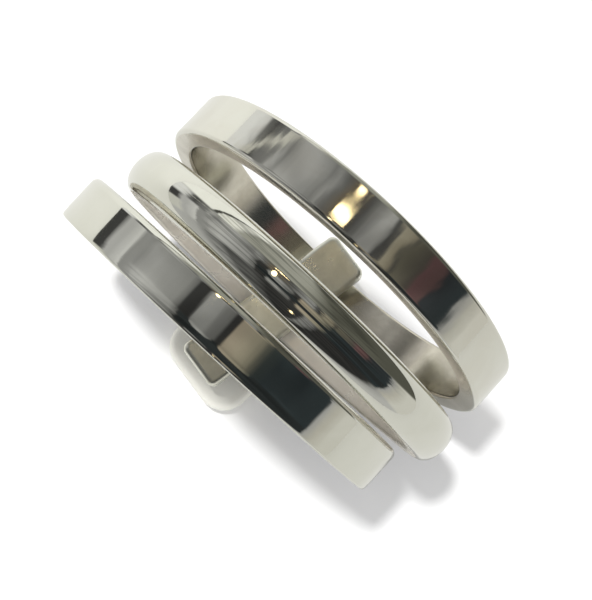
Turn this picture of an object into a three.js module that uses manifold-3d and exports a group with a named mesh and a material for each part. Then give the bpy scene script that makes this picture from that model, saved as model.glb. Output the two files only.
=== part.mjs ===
// Ring puzzle: three polished bands trapped in the slot of a keeper.
// The keeper is a bar inside the bands and a rounded plate outside them, joined by a pin at each end.
// Millimetres. +Z up, +X along the bar from the left band to the right band.
// The origin is on the plate's flat underside, below the middle of the bar.

import * as THREE from 'three';
import { mergeVertices } from 'three/addons/utils/BufferGeometryUtils.js';
import Module from 'manifold-3d';

// Bands
const BORE_R = 9.3;
const FLAT_WALL = 1.2;
const FLAT_WIDTH = 2.65;
const DOME_WIDTH = 2.5;
const DOME_EDGE_R = 10.0;
const DOME_PEAK_R = 10.8;
const INNER_CHAMFER = 0.15;
const ROUND_TURNS = 120;
const DOME_STEPS = 10;

// Keeper
const PLATE_THICK = 1.6;
const PLATE_LEFT = -6.25;
const PLATE_RIGHT = 5.5;
const PLATE_HALF_WIDTH = 2.95;
const PLATE_LEFT_ROUND = 1.6;
const PLATE_RIGHT_ROUND = 2.2;
const PLATE_TOP_EDGE = 0.25;
const PLATE_UNDER_EDGE = 0.9;
const SLOT_HEIGHT = 2.1;
const BAR_LENGTH = 10.9;
const BAR_WIDTH = 2.95;
const BAR_THICK = 1.4;
const BAR_CORNER = 0.45;
const BAR_EDGE = 0.26;
const PIN_R = 0.25;
const PIN_LEFT_X = -5.0;
const PIN_RIGHT_X = 5.0;

// Gap between each band and the plate under it
const FOOT_GAP = 0.1;

// Where each band stands on the plate, its turn about Z and its lean towards +X, in degrees
const LEFT_STAND = { x: -2.4, y: -0.26, turn: 10.7, lean: -3.4 };
const MIDDLE_STAND = { x: 0.64, y: -1.05, turn: 10.3, lean: -2.1 };
const RIGHT_STAND = { x: 3.2, y: -0.67, turn: 11.0, lean: 3.75 };

const STEEL = { color: 0xc9c8c2, roughness: 0.08, metalness: 1.0 };
const SATIN = { color: 0xa8a79f, roughness: 0.38, metalness: 1.0 };
const PALE = { color: 0xdcddd4, roughness: 0.22, metalness: 1.0 };

const wasm = await Module();
wasm.setup();

function toSolid(geometry) {
  const bare = geometry.clone();
  bare.deleteAttribute('normal');
  bare.deleteAttribute('uv');
  const merged = mergeVertices(bare, 1e-4);
  return new wasm.Manifold(new wasm.Mesh({
    numProp: 3,
    vertProperties: new Float32Array(merged.attributes.position.array),
    triVerts: new Uint32Array(merged.index.array),
  }));
}

function toGeometry(solid) {
  const mesh = solid.getMesh();
  const geometry = new THREE.BufferGeometry();
  geometry.setAttribute('position', new THREE.BufferAttribute(new Float32Array(mesh.vertProperties), 3));
  geometry.setIndex(new THREE.BufferAttribute(new Uint32Array(mesh.triVerts), 1));
  geometry.computeVertexNormals();
  return geometry;
}

function named(name, geometry, look) {
  const mesh = new THREE.Mesh(geometry, new THREE.MeshStandardMaterial(look));
  mesh.name = name;
  return mesh;
}

// Points of a quarter round from angle a to angle b
function arcPoints(r, y, radius, a, b, steps) {
  const points = [];
  for (let i = 0; i <= steps; i += 1) {
    const t = THREE.MathUtils.degToRad(a + (b - a) * i / steps);
    points.push(new THREE.Vector2(r + radius * Math.cos(t), y + radius * Math.sin(t)));
  }
  return points;
}

// Chamfered bore side of a band's section, from the lower side to the upper side
function boreSide(half) {
  return [
    new THREE.Vector2(BORE_R + INNER_CHAMFER, half),
    new THREE.Vector2(BORE_R, half - INNER_CHAMFER),
    new THREE.Vector2(BORE_R, INNER_CHAMFER - half),
    new THREE.Vector2(BORE_R + INNER_CHAMFER, -half),
  ];
}

function flatSection(edgeRound) {
  const half = FLAT_WIDTH / 2;
  const r = BORE_R + FLAT_WALL - edgeRound;
  return [
    ...arcPoints(r, edgeRound - half, edgeRound, -90, 0, 3),
    ...arcPoints(r, half - edgeRound, edgeRound, 0, 90, 3),
    ...boreSide(half),
  ];
}

function domedSection() {
  const half = DOME_WIDTH / 2;
  const points = [];
  for (let i = 0; i <= DOME_STEPS; i += 1) {
    const t = Math.PI * (i / DOME_STEPS - 0.5);
    const rise = (DOME_PEAK_R - DOME_EDGE_R) * Math.cos(t);
    points.push(new THREE.Vector2(DOME_EDGE_R + rise, half * Math.sin(t)));
  }
  return [...points, ...boreSide(half)];
}

// A band whose own axis lies along X
function bandGeometry(section) {
  const geometry = new THREE.LatheGeometry([...section, section[0].clone()], ROUND_TURNS);
  geometry.rotateZ(-Math.PI / 2);
  return geometry;
}

// Stands a band on the plate: the group carries its place, turn and lean
function standing(band, outerR, footHalf, stand) {
  const lean = THREE.MathUtils.degToRad(stand.lean);
  const group = new THREE.Group();
  group.position.set(stand.x, stand.y, PLATE_THICK);
  group.rotation.set(0, lean, THREE.MathUtils.degToRad(stand.turn), 'ZYX');
  const rise = FOOT_GAP + outerR * Math.cos(lean) + footHalf * Math.abs(Math.sin(lean));
  band.position.z = rise / Math.cos(lean);
  group.add(band);
  return group;
}

function flatBand(name, edgeRound, stand) {
  const band = named(name, bandGeometry(flatSection(edgeRound)), STEEL);
  return standing(band, BORE_R + FLAT_WALL, FLAT_WIDTH / 2, stand);
}

function domedBand(name, stand) {
  const band = named(name, bandGeometry(domedSection()), STEEL);
  return standing(band, DOME_PEAK_R, 0, stand);
}

// A slab from z = 0 to z = thick whose rims are rounded inwards from the outline
function roundedSlab(shape, thick, edge, steps) {
  const geometry = new THREE.ExtrudeGeometry(shape, {
    depth: thick - 2 * edge,
    bevelThickness: edge,
    bevelSize: edge,
    bevelOffset: -edge,
    bevelSegments: steps,
    curveSegments: 10,
  });
  geometry.translate(0, 0, edge);
  return geometry;
}

function barShape() {
  const x = BAR_LENGTH / 2;
  const y = BAR_WIDTH / 2;
  const c = BAR_CORNER;
  const shape = new THREE.Shape();
  shape.absarc(x - c, y - c, c, 0, Math.PI / 2);
  shape.absarc(c - x, y - c, c, Math.PI / 2, Math.PI);
  shape.absarc(c - x, c - y, c, Math.PI, 1.5 * Math.PI);
  shape.absarc(x - c, c - y, c, 1.5 * Math.PI, 2 * Math.PI);
  return shape;
}

function keeperBar() {
  const mesh = named('keeper_bar', roundedSlab(barShape(), BAR_THICK, BAR_EDGE, 3), SATIN);
  mesh.position.z = PLATE_THICK + SLOT_HEIGHT;
  return mesh;
}

// Plate outline: broad round-cornered left end, tapering to a round right end
function plateShape() {
  const left = PLATE_LEFT + PLATE_LEFT_ROUND;
  const right = PLATE_RIGHT - PLATE_RIGHT_ROUND;
  const side = PLATE_HALF_WIDTH - PLATE_LEFT_ROUND;
  const shape = new THREE.Shape();
  shape.absarc(right, 0, PLATE_RIGHT_ROUND, -Math.PI / 2, Math.PI / 2);
  shape.absarc(left, side, PLATE_LEFT_ROUND, Math.PI / 2, Math.PI);
  shape.absarc(left, -side, PLATE_LEFT_ROUND, Math.PI, 1.5 * Math.PI);
  return shape;
}

// The top rim is rounded tightly and the underside is rounded more, around a flat foot
function keeperPlate() {
  const topRim = toSolid(roundedSlab(plateShape(), PLATE_THICK, PLATE_TOP_EDGE, 3));
  const underRim = toSolid(roundedSlab(plateShape(), 2 * PLATE_THICK, PLATE_UNDER_EDGE, 4));
  return named('keeper_plate', toGeometry(topRim.intersect(underRim)), PALE);
}

function keeperPin(name, x) {
  const geometry = new THREE.CylinderGeometry(PIN_R, PIN_R, SLOT_HEIGHT, 24);
  geometry.rotateX(Math.PI / 2);
  const mesh = named(name, geometry, SATIN);
  mesh.position.set(x, 0, PLATE_THICK + SLOT_HEIGHT / 2);
  return mesh;
}

const keeper = new THREE.Group();
keeper.add(keeperBar(), keeperPlate());
keeper.add(keeperPin('keeper_pin_left', PIN_LEFT_X), keeperPin('keeper_pin_right', PIN_RIGHT_X));

const puzzle = new THREE.Group();
puzzle.add(
  keeper,
  flatBand('flat_band_left', 0.3, LEFT_STAND),
  domedBand('domed_band_middle', MIDDLE_STAND),
  flatBand('flat_band_right', 0.2, RIGHT_STAND),
);

export default puzzle;
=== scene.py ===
import math

import bpy
import numpy as np
from mathutils import Matrix, Vector


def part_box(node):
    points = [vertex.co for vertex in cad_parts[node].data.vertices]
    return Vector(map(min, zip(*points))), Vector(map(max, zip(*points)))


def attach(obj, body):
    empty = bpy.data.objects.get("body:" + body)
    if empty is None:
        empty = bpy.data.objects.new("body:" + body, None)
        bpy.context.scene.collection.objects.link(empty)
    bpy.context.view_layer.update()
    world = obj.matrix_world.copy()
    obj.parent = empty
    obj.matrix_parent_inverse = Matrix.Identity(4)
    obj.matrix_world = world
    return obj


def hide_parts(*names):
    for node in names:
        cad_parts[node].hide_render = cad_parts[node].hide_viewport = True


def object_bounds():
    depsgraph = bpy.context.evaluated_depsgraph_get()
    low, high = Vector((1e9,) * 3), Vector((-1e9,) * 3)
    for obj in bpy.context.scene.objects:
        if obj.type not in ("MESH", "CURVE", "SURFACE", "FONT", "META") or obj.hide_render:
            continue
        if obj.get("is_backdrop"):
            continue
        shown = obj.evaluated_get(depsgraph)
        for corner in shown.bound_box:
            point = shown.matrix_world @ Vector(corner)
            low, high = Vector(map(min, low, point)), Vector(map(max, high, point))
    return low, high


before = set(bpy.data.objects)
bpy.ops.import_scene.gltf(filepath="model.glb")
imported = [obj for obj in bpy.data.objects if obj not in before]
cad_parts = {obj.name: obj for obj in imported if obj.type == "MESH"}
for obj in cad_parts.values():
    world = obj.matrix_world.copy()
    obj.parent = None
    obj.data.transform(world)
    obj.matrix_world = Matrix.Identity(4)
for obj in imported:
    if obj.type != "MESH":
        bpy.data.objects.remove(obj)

CAD_LO, CAD_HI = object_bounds()
MM = 0.001
MICRON = 0.000001
IN_MM = (1000, 1000, 1000)  # scale from metres to mm
WHITE = (1.0, 1.0, 1.0)

# ---------------------------------------------------------------- the object's own sizes, in mm
BORE_R = 9.3
FLAT_R = 10.5
FLAT_WIDTH = 2.65
DOME_WIDTH = 2.5
DOME_EDGE_R = 10.0
DOME_PEAK_R = 10.8
SKIN = 0.004  # how far the bands' surfaces lie inside their nominal size
BAND_STEPS = 480  # steps of a band round its axis
EDGE_STEPS = 8  # steps of a rounded outer edge
BORE_RIM_STEPS = 5
CROWN_STEPS = 40
FLAT_BORE_RIM = 0.14
DOME_BORE_RIM = 0.16
FALL_WIDTH = 0.5  # how much of a flat band's outside falls away to the left
SPARE = 0.05  # how far from a rounding the nearest spare point of a straight part lies

BAR_CORNER = 0.45
BAR_UNDER_RIM = 0.2
BAR_TOP_RIM = 0.32
PLATE_LEFT_ROUND = 1.6
PLATE_RIGHT_ROUND = 2.2
PLATE_UNDER_RIM = 0.85
PLATE_TOP_RIM = 0.4
UNDER_CAP = 0.25  # how far inside its lower rounding a slab's end face starts
TOP_CAP = 0.1  # the same at its upper rounding
PIN_R = 0.25
PIN_SINK = 0.3  # how far a pin's ends reach into the bar and the plate
PIN_FLARE = ((0.0, 0.05), (0.05, 0.02), (0.12, 0.0))  # distance from the end, extra radius

TURN = math.radians(10.7)  # how far the bands are turned from the bar


# ---------------------------------------------------------------- directions
def along(x, y, z):
    """A direction given across the bands, along the bands and up."""
    c, s = math.cos(TURN), math.sin(TURN)
    return Vector((x * c - y * s, x * s + y * c, z)).normalized()


def towards(across, turn):
    """A direction given across the bands and by its turn over them.

    Turn 0 is the horizon behind the bands, 0.5 straight up and 1 the horizon in front.
    """
    rest = math.sqrt(1 - across * across)
    return along(across, rest * math.cos(math.pi * turn), rest * math.sin(math.pi * turn))


RIGHTWARDS = along(1, 0, 0)
BACKWARDS = along(0, 1, 0)
UPWARDS = Vector((0, 0, 1))


# ---------------------------------------------------------------- reading the frame
def node_points(node):
    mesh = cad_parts[node].data
    points = np.empty(len(mesh.vertices) * 3)
    mesh.vertices.foreach_get("co", points)
    return points.reshape(-1, 3)


def band_placing(node):
    """Matrix from a band's own frame (axis along X, top along Z) to the row frame."""
    points = np.unique(np.round(node_points(node), 7), axis=0)
    centre = (points.max(axis=0) + points.min(axis=0)) / 2
    _, axes = np.linalg.eigh(np.cov((points - points.mean(axis=0)).T))
    axis = Vector(axes[:, 0] * np.sign(axes[0, 0]))
    side = UPWARDS.cross(axis).normalized()
    top = axis.cross(side).normalized()
    placing = Matrix((axis, side, top)).transposed().to_4x4()
    placing.translation = Vector(centre)
    return placing


def box_mm(node):
    lo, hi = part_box(node)
    return lo / MM, hi / MM


# ---------------------------------------------------------------- shader helpers
class Nodes:
    """Short forms for building a node tree. What they are given is a constant or another node's socket."""

    def __init__(self, tree):
        self.tree = tree
        tree.nodes.clear()

    def feed(self, socket, value):
        if isinstance(value, bpy.types.NodeSocket):
            self.tree.links.new(value, socket)
        else:
            socket.default_value = value

    def add(self, kind, **inputs):
        node = self.tree.nodes.new(kind)
        for key, value in inputs.items():
            self.feed(node.inputs[key.replace("_", " ")], value)
        return node

    def math(self, operation, a, b=0.0):
        node = self.tree.nodes.new("ShaderNodeMath")
        node.operation = operation
        self.feed(node.inputs[0], a)
        self.feed(node.inputs[1], b)
        return node.outputs[0]

    def plus(self, a, b):
        return self.math("ADD", a, b)

    def minus(self, a, b):
        return self.math("SUBTRACT", a, b)

    def times(self, a, b):
        return self.math("MULTIPLY", a, b)

    def ease(self, value, lo, hi, to_lo=0.0, to_hi=1.0):
        """Runs smoothly from to_lo at lo to to_hi at hi. Lo may lie above hi."""
        node = self.tree.nodes.new("ShaderNodeMapRange")
        node.interpolation_type = "SMOOTHSTEP"
        for key, given in (
            ("Value", value),
            ("From Min", lo),
            ("From Max", hi),
            ("To Min", to_lo),
            ("To Max", to_hi),
        ):
            self.feed(node.inputs[key], given)
        return node.outputs[0]

    def zone(self, value, *edges):
        """1 inside all edges, 0 outside any. An edge is the value where that is 0 and where it is 1."""
        inside = 1.0
        for outer, inner in edges:
            inside = self.times(inside, self.ease(value, outer, inner))
        return inside

    def noise(self, vector, scale, detail=3.0, rough=0.5, warp=0.0):
        node = self.add("ShaderNodeTexNoise", Vector=vector, Scale=scale, Detail=detail, Roughness=rough)
        node.inputs["Distortion"].default_value = warp
        return node.outputs["Fac"]

    def scaled(self, vector, scale):
        node = self.add("ShaderNodeMapping", Vector=vector)
        node.inputs["Scale"].default_value = scale
        return node.outputs[0]

    def vector(self, operation, a, b=None):
        node = self.tree.nodes.new("ShaderNodeVectorMath")
        node.operation = operation
        self.feed(node.inputs[0], a)
        if b is not None:
            self.feed(node.inputs[1], b)
        return node

    def dot(self, vector, axis):
        return self.vector("DOT_PRODUCT", vector, axis).outputs["Value"]

    def mix(self, factor, a, b):
        """A at factor 0 and b at factor 1. Both are colours."""
        node = self.tree.nodes.new("ShaderNodeMix")
        node.data_type = "RGBA"
        self.feed(node.inputs["Factor"], factor)
        for socket, colour in ((node.inputs[6], a), (node.inputs[7], b)):
            self.feed(socket, (*colour, 1.0) if isinstance(colour, tuple) else colour)
        return node.outputs[2]

    def ramp(self, value, stops):
        """Stops are a place and a grey level or colour."""
        node = self.tree.nodes.new("ShaderNodeValToRGB")
        self.feed(node.inputs[0], value)
        ramp = node.color_ramp
        while len(ramp.elements) < len(stops):
            ramp.elements.new(0.5)
        for element, (place, colour) in zip(ramp.elements, stops):
            element.position = place
            element.color = (*colour, 1.0) if isinstance(colour, tuple) else (colour, colour, colour, 1.0)
        return node.outputs[0]

    def bump(self, height, distance, normal=None):
        node = self.add("ShaderNodeBump", Height=height, Strength=1.0, Distance=distance)
        if normal is not None:
            self.feed(node.inputs["Normal"], normal)
        return node.outputs[0]

    def output(self, shader, kind="ShaderNodeOutputMaterial"):
        self.add(kind, Surface=shader.outputs[0])


def new_material(name):
    material = bpy.data.materials.new(name)
    material.use_nodes = True
    return material, Nodes(material.node_tree)


# ---------------------------------------------------------------- mesh helpers
def arc(r, y, radius, a, b, steps):
    turns = np.radians(np.linspace(a, b, steps + 1))
    return [(r + radius * math.cos(t), y + radius * math.sin(t)) for t in turns]


def solid(name, points, faces, uvs, materials, slots=None):
    mesh = bpy.data.meshes.new(name)
    mesh.from_pydata([tuple(p) for p in points], [], faces)
    layer = mesh.uv_layers.new(name="map")
    layer.data.foreach_set("uv", np.array(uvs, dtype=np.float32).ravel())
    for material in materials:
        mesh.materials.append(material)
    if slots:
        mesh.polygons.foreach_set("material_index", slots)
    mesh.shade_smooth()
    mesh.update()
    obj = bpy.data.objects.new(name, mesh)
    bpy.context.scene.collection.objects.link(obj)
    return obj


def lathe(name, outside, inside, placing, materials):
    """Turns a section about the band's own X axis.

    A section's points are radius and place along the axis. The outside takes the first material and
    the bore the second. The map is in mm, U round the band and V across it.
    """
    section = outside + inside
    count = len(section)
    points, faces, uvs, slots = [], [], [], []
    run = np.cumsum([0.0] + [math.dist(a, b) for a, b in zip(section, section[1:] + section[:1])])
    for i in range(BAND_STEPS):
        t = 2 * math.pi * i / BAND_STEPS
        for r, y in section:
            local = Vector((y, r * math.sin(t), r * math.cos(t))) * MM
            points.append(placing @ local)
    for i in range(BAND_STEPS):
        here = i * count
        there = (i + 1) % BAND_STEPS * count
        u0, u1 = (2 * math.pi * FLAT_R * q / BAND_STEPS for q in (i, i + 1))
        for j in range(count):
            m = (j + 1) % count
            faces.append((here + j, here + m, there + m, there + j))
            uvs += [(u0, run[j]), (u0, run[j + 1]), (u1, run[j + 1]), (u1, run[j])]
            slots.append(0 if j < len(outside) - 1 else 1)
    return solid(name, points, faces, uvs, materials, slots)


def rounded_outline(corners, steps=14):
    """Points and outward normals through arcs: (centre x, centre y, radius, first angle, last angle)."""
    outline = []
    for x, y, radius, a, b in corners:
        for t in np.radians(np.linspace(a, b, steps + 1)):
            outline.append((x + radius * math.cos(t), y + radius * math.sin(t), math.cos(t), math.sin(t)))
    return outline


def rim_levels(low, high, under, top, steps=8):
    """Heights and pulls of a slab with a round lower rim and a round upper rim."""
    levels = [(low, under + UNDER_CAP)]
    for t in np.radians(np.linspace(0, 90, steps + 1)):
        levels.append((low + under * (1 - math.cos(t)), under * (1 - math.sin(t))))
    for t in np.radians(np.linspace(0, 90, steps + 1)):
        levels.append((high - top * (1 - math.sin(t)), top * (1 - math.cos(t))))
    return levels + [(high, top + TOP_CAP)]


def slab(name, outline, levels, material):
    """Stacks copies of an outline, each at a height and pulled in along its normals, and caps the ends."""
    count = len(outline)
    points, faces, uvs = [], [], []
    for z, pull in levels:
        for x, y, nx, ny in outline:
            points.append(Vector((x - nx * pull, y - ny * pull, z)) * MM)
    for level in range(len(levels) - 1):
        a, b = level * count, (level + 1) * count
        for j in range(count):
            m = (j + 1) % count
            faces.append((a + j, a + m, b + m, b + j))
    faces.append(tuple(reversed(range(count))))
    faces.append(tuple(range((len(levels) - 1) * count, len(levels) * count)))
    for face in faces:
        uvs += [(points[v].x / MM, (points[v].y + points[v].z) / MM) for v in face]
    return solid(name, points, faces, uvs, (material,))


# ---------------------------------------------------------------- materials
LINE_SCALE = (0.35, 9.0, 1.0)  # per mm of the map: long round or along the piece, fine across it
SPECK_SHARE = 0.15  # height of the specks for a height of 1 of the lines


def metal(name, base, tint, rough, scratch, wave, grain, metallic=1.0, wave_scale=0.3):
    """Polished or satin metal that drifts between two colours.

    Rough is the roughness of its clear and its hazed places, and scratch what the lines along the
    piece add to it. Wave and grain are the heights of the broad and the fine relief, in microns.
    """
    material, n = new_material(name)
    place = n.add("ShaderNodeTexCoord")
    mm = n.scaled(place.outputs["Object"], IN_MM)
    lines = n.noise(n.scaled(place.outputs["UV"], LINE_SCALE), 1.0, detail=4.0, rough=0.65)
    cloud = n.noise(mm, 0.45, detail=4.0, rough=0.6, warp=0.4)
    specks = n.noise(mm, 6.0, detail=2.0)
    waves = n.noise(mm, wave_scale, detail=2.0, rough=0.45, warp=0.2)

    colour = n.mix(n.ease(cloud, 0.3, 0.7), base, tint)
    clear, hazed = rough
    roughness = n.plus(n.ease(cloud, 0.3, 0.75, clear, hazed), n.ease(lines, 0.5, 0.85, 0.0, scratch))
    normal = n.bump(waves, wave * MICRON)
    normal = n.bump(lines, grain * MICRON, normal)
    normal = n.bump(specks, grain * SPECK_SHARE * MICRON, normal)
    shader = n.add("ShaderNodeBsdfPrincipled", Base_Color=colour, Roughness=roughness, Normal=normal)
    shader.inputs["Metallic"].default_value = metallic
    n.output(shader)
    return material


SILVER = (0.63, 0.63, 0.575)
polished = metal(
    "polished_band", SILVER, (0.6, 0.6, 0.54),
    rough=(0.03, 0.06), scratch=0.03, wave=0.03, grain=0.0012,
)
polished_wavy = metal(
    "polished_wavy", SILVER, (0.6, 0.59, 0.53),
    rough=(0.035, 0.06), scratch=0.04, wave=0.07, grain=0.0016, wave_scale=0.6,
)
bore_satin = metal(
    "bore_satin", (0.62, 0.59, 0.51), (0.5, 0.47, 0.4),
    rough=(0.14, 0.22), scratch=0.06, wave=0.02, grain=0.001,
)
# The domed band's bore: a paler, less metallic copy of the bore, with painted light standing in for the
# light thrown into it between the bands
bore_painted_light = metal(
    "bore_painted_light", (0.9, 0.86, 0.77), (0.82, 0.77, 0.68),
    rough=(0.26, 0.34), scratch=0.05, wave=0.02, grain=0.001, metallic=0.35,
)
bar_satin = metal(
    "bar_satin", (0.8, 0.8, 0.72), (0.6, 0.6, 0.53),
    rough=(0.26, 0.36), scratch=0.06, wave=0.03, grain=0.003,
)
plate_soft = metal(
    "plate_soft", (0.85, 0.845, 0.77), (0.82, 0.81, 0.74),
    rough=(0.4, 0.5), scratch=0.05, wave=0.03, grain=0.002, metallic=0.0,
)


# ---------------------------------------------------------------- bands
def bore_part(half, rim, trim=0.0):
    """Bore side of a section: the straight bore, with spare points by the rims, between rounded rims."""
    left = half - trim
    upper = arc(BORE_R + rim, half - rim, rim, 90, 180, BORE_RIM_STEPS)
    middle = [(BORE_R, y) for y in np.linspace(half - rim - SPARE, rim + SPARE - left, 6)]
    lower = arc(BORE_R + rim, rim - left, rim, 180, 270, BORE_RIM_STEPS)
    return upper + middle + lower


def flat_section(left_edge, right_edge, fall=0.0, trim=0.0):
    """A flat outside with rounded edges, and its bore.

    The outside falls away towards its left edge, up to a slope of fall. Trim takes that much off
    the left side.
    """
    half = FLAT_WIDTH / 2 - SKIN
    r = FLAT_R - SKIN
    start = left_edge - (half - trim)
    drop = fall * FALL_WIDTH / 2
    left = arc(r - drop - left_edge, start, left_edge, -90, -math.degrees(fall), EDGE_STEPS)
    slope = [(r - drop * (1 - q) ** 2, start + FALL_WIDTH * q) for q in np.linspace(0.1, 1.0, 10)]
    middle = [(r, y) for y in np.linspace(start + FALL_WIDTH + 2 * SPARE, half - right_edge - SPARE, 6)]
    right = arc(r - right_edge, half - right_edge, right_edge, 0, 90, EDGE_STEPS)
    return left + slope + middle + right, bore_part(half, FLAT_BORE_RIM, trim)


def dome_section():
    """A domed outside, half an ellipse, and its bore."""
    half = DOME_WIDTH / 2 - SKIN
    rise = DOME_PEAK_R - SKIN - DOME_EDGE_R
    turns = np.linspace(-math.pi / 2, math.pi / 2, CROWN_STEPS + 1)
    crown = [(DOME_EDGE_R + rise * math.cos(t), half * math.sin(t)) for t in turns]
    return crown, bore_part(half, DOME_BORE_RIM)


left_section = flat_section(0.14, 0.38, fall=0.08, trim=0.035)
middle_section = dome_section()
right_section = flat_section(0.2, 0.22)
# Body, CAD node, name, section, materials of the outside and of the bore
BANDS = (
    ("left_band", "flat_band_left", "left_flat_ring", left_section, polished, bore_satin),
    ("middle_band", "domed_band_middle", "middle_domed_ring", middle_section, polished, bore_painted_light),
    ("right_band", "flat_band_right", "right_flat_ring", right_section, polished_wavy, bore_satin),
)
for body, node, name, (outside, inside), skin, bore in BANDS:
    ring = lathe(name, outside, inside, band_placing(node), (skin, bore))
    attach(ring, body)
    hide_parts(node)


# ---------------------------------------------------------------- keeper
def bar_body():
    lo, hi = box_mm("keeper_bar")
    right, side, left = hi.x - BAR_CORNER, hi.y - BAR_CORNER, lo.x + BAR_CORNER
    outline = rounded_outline([
        (right, side, BAR_CORNER, 0, 90),
        (left, side, BAR_CORNER, 90, 180),
        (left, -side, BAR_CORNER, 180, 270),
        (right, -side, BAR_CORNER, 270, 360),
    ])
    levels = rim_levels(lo.z, hi.z, BAR_UNDER_RIM, BAR_TOP_RIM)
    return slab("keeper_bar_body", outline, levels, bar_satin)


def plate_body():
    """Broad and round-cornered at its left end, tapering to a round right end."""
    lo, hi = box_mm("keeper_plate")
    left = lo.x + PLATE_LEFT_ROUND
    right = hi.x - PLATE_RIGHT_ROUND
    side = hi.y - PLATE_LEFT_ROUND
    slope = math.degrees(math.asin((hi.y - PLATE_RIGHT_ROUND) / (right - left)))
    outline = rounded_outline([
        (right, 0, PLATE_RIGHT_ROUND, slope - 90, 90 - slope),
        (left, side, PLATE_LEFT_ROUND, 90 - slope, 180),
        (left, -side, PLATE_LEFT_ROUND, 180, 270 + slope),
    ])
    levels = rim_levels(lo.z, hi.z, PLATE_UNDER_RIM, PLATE_TOP_RIM)
    return slab("keeper_plate_body", outline, levels, plate_soft)


def pin_body(name, node):
    """A round pin whose ends flare a little and reach into the bar and the plate."""
    lo, hi = box_mm(node)
    x, y = (lo.x + hi.x) / 2, (lo.y + hi.y) / 2
    outline = rounded_outline([(x, y, PIN_R, 0, 180), (x, y, PIN_R, 180, 360)], 12)
    end_flare = PIN_FLARE[0][1]
    levels = [(lo.z - PIN_SINK, -end_flare)]
    levels += [(lo.z + z, -flare) for z, flare in PIN_FLARE]
    levels += [(hi.z - z, -flare) for z, flare in reversed(PIN_FLARE)]
    levels += [(hi.z + PIN_SINK, -end_flare)]
    return slab(name, outline, levels, bar_satin)


KEEPER = (
    (bar_body(), "keeper_bar", "satin_steel"),
    (plate_body(), "keeper_plate", "pale_steel"),
    (pin_body("left_pin_body", "keeper_pin_left"), "keeper_pin_left", "satin_steel"),
    (pin_body("right_pin_body", "keeper_pin_right"), "keeper_pin_right", "satin_steel"),
)
for piece, node, slot in KEEPER:
    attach(piece, "keeper")
    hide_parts(node)

# ---------------------------------------------------------------- floor
PAPER_SIDE = 3.0  # how far the paper reaches to each side, in m
PAPER_BEHIND = 0.2
PAPER_BEFORE = 0.13
PAPER_GAP = 0.00002  # how far it lies under the object
PAPER_FADE = (0.04, 0.1)  # distances over which it fades to plain white
# Painted shade on the paper that metal sees: how dark it is in front of the bands, and behind them to the
# left and to the right
PAINTED_SHADE_FRONT = (0.66, 0.66, 0.635)
PAINTED_SHADE_LEFT = (0.7, 0.7, 0.67)
PAINTED_SHADE_RIGHT = (0.84, 0.84, 0.81)


def paper():
    """White paper. Metal sees it darker, with painted shade that is deepest in front and to the left, and
    the camera sees it fade to plain white further away.
    """
    material, n = new_material("paper")
    place = n.add("ShaderNodeTexCoord").outputs["Object"]
    ray = n.add("ShaderNodeLightPath")
    fibre = n.noise(n.scaled(place, IN_MM), 1.5)
    white = n.mix(fibre, (0.9, 0.9, 0.9), (0.91, 0.91, 0.91))
    behind = n.ease(n.dot(place, BACKWARDS), -0.005, 0.04)
    right = n.ease(n.dot(place, RIGHTWARDS), -0.03, 0.02)
    # painted shade: the paper that metal mirrors is darkened by place, most in front and to the left
    mirrored_shade = n.mix(behind, PAINTED_SHADE_FRONT, n.mix(right, PAINTED_SHADE_LEFT, PAINTED_SHADE_RIGHT))
    colour = n.mix(ray.outputs["Is Glossy Ray"], white, mirrored_shade)
    sheet = n.add("ShaderNodeBsdfPrincipled", Base_Color=colour)
    sheet.inputs["Roughness"].default_value = 0.9
    sheet.inputs["Specular IOR Level"].default_value = 0.0

    distance = n.vector("LENGTH", place).outputs["Value"]
    far = n.times(n.ease(distance, *PAPER_FADE), ray.outputs["Is Camera Ray"])
    plain = n.add("ShaderNodeEmission", Color=(*WHITE, 1.0), Strength=1.0)
    faded = n.tree.nodes.new("ShaderNodeMixShader")
    for socket, source in zip(faded.inputs, (far, sheet.outputs[0], plain.outputs[0])):
        n.feed(socket, source)
    n.output(faded)
    return material


def floor():
    edges = (
        (-PAPER_SIDE, -PAPER_BEFORE),
        (PAPER_SIDE, -PAPER_BEFORE),
        (PAPER_SIDE, PAPER_BEHIND),
        (-PAPER_SIDE, PAPER_BEHIND),
    )
    level = UPWARDS * (CAD_LO.z - PAPER_GAP)
    corners = [RIGHTWARDS * x + BACKWARDS * y + level for x, y in edges]
    sheet = solid("floor", corners, [(0, 1, 2, 3)], [c[:2] for c in corners], (paper(),))
    sheet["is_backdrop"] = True


floor()

# ---------------------------------------------------------------- the room that the metal mirrors
# Each tone stands at a turn: 0 is the horizon behind the bands, 0.5 straight up, 1 the horizon in front
# Tones that the left band mirrors
ROOM_LEFT = [
    (0.0, 0.07), (0.012, 0.08),  # dark strip at the horizon behind
    (0.035, 0.6), (0.06, 0.58), (0.105, 0.8),  # pale zone above it
    (0.114, 0.37), (0.165, 0.4), (0.18, 0.5), (0.22, 0.56),  # grey, darker further up
    (0.28, 0.45), (0.335, 0.36), (0.362, 0.2),
    (0.37, 0.05), (0.408, 0.04),  # dark bar
    (0.418, 0.38), (0.46, 0.42), (0.478, 0.28), (0.505, 0.2),  # grey pane
    (0.513, 0.05), (0.53, 0.05),  # dark bar
    (0.538, (0.5, 0.43, 0.34)), (0.58, (0.46, 0.41, 0.32)), (0.62, (0.34, 0.31, 0.24)),  # tan pane
    (0.66, (0.05, 0.06, 0.06)), (0.7, (0.035, 0.045, 0.05)), (0.905, (0.035, 0.045, 0.05)),  # dark front
    (0.916, 0.5), (0.95, (0.64, 0.62, 0.56)), (1.0, (0.82, 0.81, 0.76)),  # pale horizon in front
]
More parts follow.
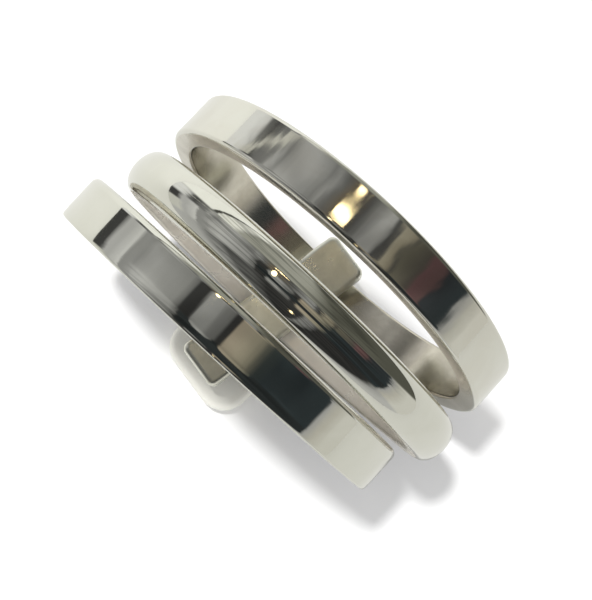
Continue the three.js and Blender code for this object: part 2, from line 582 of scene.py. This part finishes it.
# Tones that the right band mirrors
ROOM_RIGHT = [
    (0.0, 1.0), (0.03, 0.85),  # pale horizon behind
    (0.055, 0.2), (0.08, 0.08), (0.1, 0.2),  # dark strip
    (0.14, 0.25), (0.155, 0.52), (0.175, 0.3), (0.21, 0.48),  # uneven grey
    (0.27, 0.44), (0.33, 0.24), (0.36, 0.36),
    (0.385, 0.17), (0.42, (0.2, 0.16, 0.11)), (0.49, 0.13),  # round the bulb
    (0.52, 0.24), (0.55, 0.38), (0.58, 0.36),  # grey pane
    (0.59, 0.06), (0.605, 0.08),  # dark bar
    (0.613, (0.36, 0.33, 0.26)), (0.65, (0.28, 0.25, 0.19)),  # tan pane
    (0.66, 0.06), (0.672, (0.15, 0.14, 0.11)), (0.74, (0.1, 0.09, 0.08)),
    (0.75, (0.16, 0.09, 0.095)), (0.8, (0.13, 0.08, 0.08)),  # reddish patch
    (0.81, (0.04, 0.045, 0.05)), (0.908, (0.035, 0.045, 0.05)),  # dark front
    (0.92, 0.42), (0.95, (0.6, 0.59, 0.54)), (1.0, (0.82, 0.81, 0.76)),  # pale horizon in front
]
# Tones far to the left, which the left flank of the domed band mirrors
FAR_LEFT = [
    (0.0, 0.6), (0.08, 0.55), (0.15, 0.33), (0.2, 0.3), (0.25, 0.13), (0.35, 0.12), (0.42, 0.045),
    (0.57, 0.05), (0.585, 0.28), (0.615, 0.22), (0.64, 0.04), (0.88, 0.04), (0.93, 0.5), (1.0, 0.65),
]
# Tones far to the right, which the right flank of the domed band mirrors. Each is a zone's edges, as
# turns, and its colour
FAR_RIGHT = (
    (((0.16, 0.28),), (0.4, 0.4, 0.36)),
    (((0.5, 0.66),), (0.12, 0.12, 0.1)),
    (((0.155, 0.165), (0.27, 0.22)), (0.95, 0.95, 0.9)),
    (((0.165, 0.155),), (0.1, 0.1, 0.09)),
    (((0.142, 0.134),), (1.25, 1.25, 1.2)),
)
# The dark frame to the left, round two lighter panes
FRAME_COLOUR = (0.03, 0.035, 0.037)
FRAME_ACROSS = ((-0.28, -0.24), (-0.08, -0.1))
FRAME_TURNS = ((0.365, 0.378), (0.91, 0.905))
PANES = ((0.457, 0.046), (0.596, 0.07))  # a pane's middle and half width, as turns
PANE_CORNER = (-0.08, 0.06)  # where across the panes' ends start to round, and over what width
HORIZON_COLOUR = (0.75, 0.75, 0.7)  # the horizon behind, to the left
SEAM_COLOUR = (0.8, 0.79, 0.72)  # a thin pale line that slants over the right
EVEN_LIGHT = (0.8, 0.8, 0.8)  # what surfaces that don't mirror get from all sides


def grid(n, across, turn, fine_across, fine_turn):
    """A place for noise in the room, finer across the bands than by turn."""
    x, y = n.times(across, fine_across), n.times(turn, fine_turn)
    return n.add("ShaderNodeCombineXYZ", X=x, Y=y).outputs[0]


def outside_panes(n, across, turn):
    """0 in the panes, whose left ends are round, and 1 outside them."""
    start, width = PANE_CORNER
    end = n.math("MAXIMUM", n.math("DIVIDE", n.minus(start, across), width), 0.0)
    end = n.math("POWER", end, 2.0)
    inside = 0.0
    for middle, half in PANES:
        off = n.math("DIVIDE", n.math("ABSOLUTE", n.minus(turn, middle)), half)
        edge = n.plus(end, n.math("POWER", off, 4.0))
        inside = n.math("MAXIMUM", inside, n.ease(edge, 1.15, 0.9))
    return n.minus(1.0, inside)


def room_colour(n, direction):
    """What metal mirrors in a direction. Ripple and jag bend its edges, as uneven metal does."""
    across, back, up = (n.dot(direction, axis) for axis in (RIGHTWARDS, BACKWARDS, UPWARDS))
    turn = n.times(n.math("ARCTAN2", up, back), 1 / math.pi)
    turn = n.plus(turn, n.times(n.math("LESS_THAN", turn, -0.5), 2.0))
    ripple = n.minus(n.noise(direction, 9.0, rough=0.6, warp=1.0), 0.5)
    turn = n.plus(turn, n.times(ripple, 0.03))
    jag = n.minus(n.noise(grid(n, across, turn, 60.0, 12.0), 1.0, rough=0.6), 0.5)
    turn = n.plus(turn, n.times(jag, 0.015))
    jagged = n.plus(turn, n.times(jag, 0.075))

    colour = n.mix(n.ease(across, 0.035, 0.12), n.ramp(turn, ROOM_LEFT), n.ramp(jagged, ROOM_RIGHT))
    pale_horizon = n.times(n.ease(across, -0.1, -0.16), n.ease(turn, 0.05, 0.02))
    colour = n.mix(pale_horizon, colour, HORIZON_COLOUR)
    slant = n.minus(n.plus(turn, n.times(jag, 0.05)), n.times(across, 2.2))
    seam = n.times(
        n.zone(slant, (-0.45, -0.442), (-0.422, -0.432)),
        n.zone(across, (0.15, 0.2), (0.35, 0.3)),
    )
    colour = n.mix(seam, colour, SEAM_COLOUR)
    frame_zone = n.times(n.zone(turn, *FRAME_TURNS), n.zone(across, *FRAME_ACROSS))
    colour = n.mix(n.times(outside_panes(n, across, turn), frame_zone), colour, FRAME_COLOUR)
    far_right = n.ease(across, 0.3, 0.38)
    for edges, tone in FAR_RIGHT:
        colour = n.mix(n.times(far_right, n.zone(turn, *edges)), colour, tone)
    colour = n.mix(n.ease(across, -0.36, -0.46), colour, n.ramp(turn, FAR_LEFT))

    streak = n.noise(grid(n, across, turn, 14.0, 3.0), 1.0, detail=2.0, rough=0.6, warp=0.4)
    streak = n.ease(streak, 0.38, 0.62, 0.68, 1.22)
    streak = n.mix(n.zone(turn, (0.13, 0.17), (0.9, 0.8)), WHITE, streak)
    return n.vector("MULTIPLY", colour, streak).outputs[0]


def room():
    """Metal mirrors the room, the camera sees plain white and other surfaces get even light."""
    world = bpy.data.worlds.new("studio")
    bpy.context.scene.world = world
    world.use_nodes = True
    n = Nodes(world.node_tree)
    direction = n.add("ShaderNodeTexCoord").outputs["Generated"]
    ray = n.add("ShaderNodeLightPath")
    shown = n.mix(ray.outputs["Is Glossy Ray"], EVEN_LIGHT, room_colour(n, direction))
    shown = n.mix(ray.outputs["Is Camera Ray"], shown, WHITE)
    n.output(n.add("ShaderNodeBackground", Color=shown, Strength=1.0), "ShaderNodeOutputWorld")


room()

# ---------------------------------------------------------------- lamps
LAMP_DISTANCE = 0.5
WARM = (1.0, 0.8, 0.45)
# Name, direction, width and length in m, power in W
WARM_LAMPS = (
    ("bulb", towards(0.289, 0.445), (0.003, 0.09), 0.01),
    ("bulb_spark", towards(0.3105, 0.441), (0.0015, 0.045), 0.002),
    ("bulb_side", towards(0.07, 0.43), (0.12, 0.026), 0.05),
    ("spot", along(-0.71, -0.09, 0.69), (0.07, 0.017), 0.011),
)
lo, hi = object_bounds()
MIDDLE = (lo + hi) / 2


def lamp(name, direction, size, power, colour):
    """An oval lamp that faces the middle of the object, its width across the bands."""
    data = bpy.data.lights.new(name, "AREA")
    data.shape = "ELLIPSE"
    data.size, data.size_y = size
    data.energy = power
    data.color = colour
    obj = bpy.data.objects.new(name, data)
    bpy.context.scene.collection.objects.link(obj)
    width = (RIGHTWARDS - direction * direction.dot(RIGHTWARDS)).normalized()
    turned = Matrix((width, direction.cross(width), direction)).transposed().to_4x4()
    obj.matrix_world = Matrix.Translation(MIDDLE + direction * LAMP_DISTANCE) @ turned
    return obj


# The key lamp gives the light and the shadows, and metal doesn't mirror it
key = lamp("key", Vector((0.0, 0.18, 0.98)).normalized(), (0.035, 0.035), 1.6, WHITE)
key.visible_glossy = False
for name, direction, size, power in WARM_LAMPS:
    lamp(name, direction, size, power, WARM)

# ---------------------------------------------------------------- camera
CAMERA_SENSOR = 36.0  # width in mm
CAMERA_LENS = 91.5  # mm
CAMERA_PLACE = Vector((-5.8, -8.6, 89.8)) * MM
CAMERA_HEADING = math.radians(-40.9)
CAMERA_HEIGHT = math.radians(82.62)
CAMERA_RIGHT = Vector((0.8023, -0.5969, 0.0096))  # fixes the roll


def camera():
    data = bpy.data.cameras.new("camera")
    data.sensor_fit = "HORIZONTAL"
    data.sensor_width = CAMERA_SENSOR
    data.lens = CAMERA_LENS
    data.clip_start, data.clip_end = 0.005, 10.0
    obj = bpy.data.objects.new("camera", data)
    bpy.context.scene.collection.objects.link(obj)
    level = math.cos(CAMERA_HEIGHT)
    look = Vector((
        -math.sin(CAMERA_HEADING) * level,
        math.cos(CAMERA_HEADING) * level,
        -math.sin(CAMERA_HEIGHT),
    ))
    right = (CAMERA_RIGHT - look * CAMERA_RIGHT.dot(look)).normalized()
    turned = Matrix((right, right.cross(look), -look)).transposed().to_4x4()
    obj.matrix_world = Matrix.Translation(CAMERA_PLACE) @ turned
    bpy.context.scene.camera = obj


camera()
scene = bpy.context.scene
scene.view_settings.view_transform = "Standard"
scene.cycles.caustics_reflective = False

lo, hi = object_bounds()
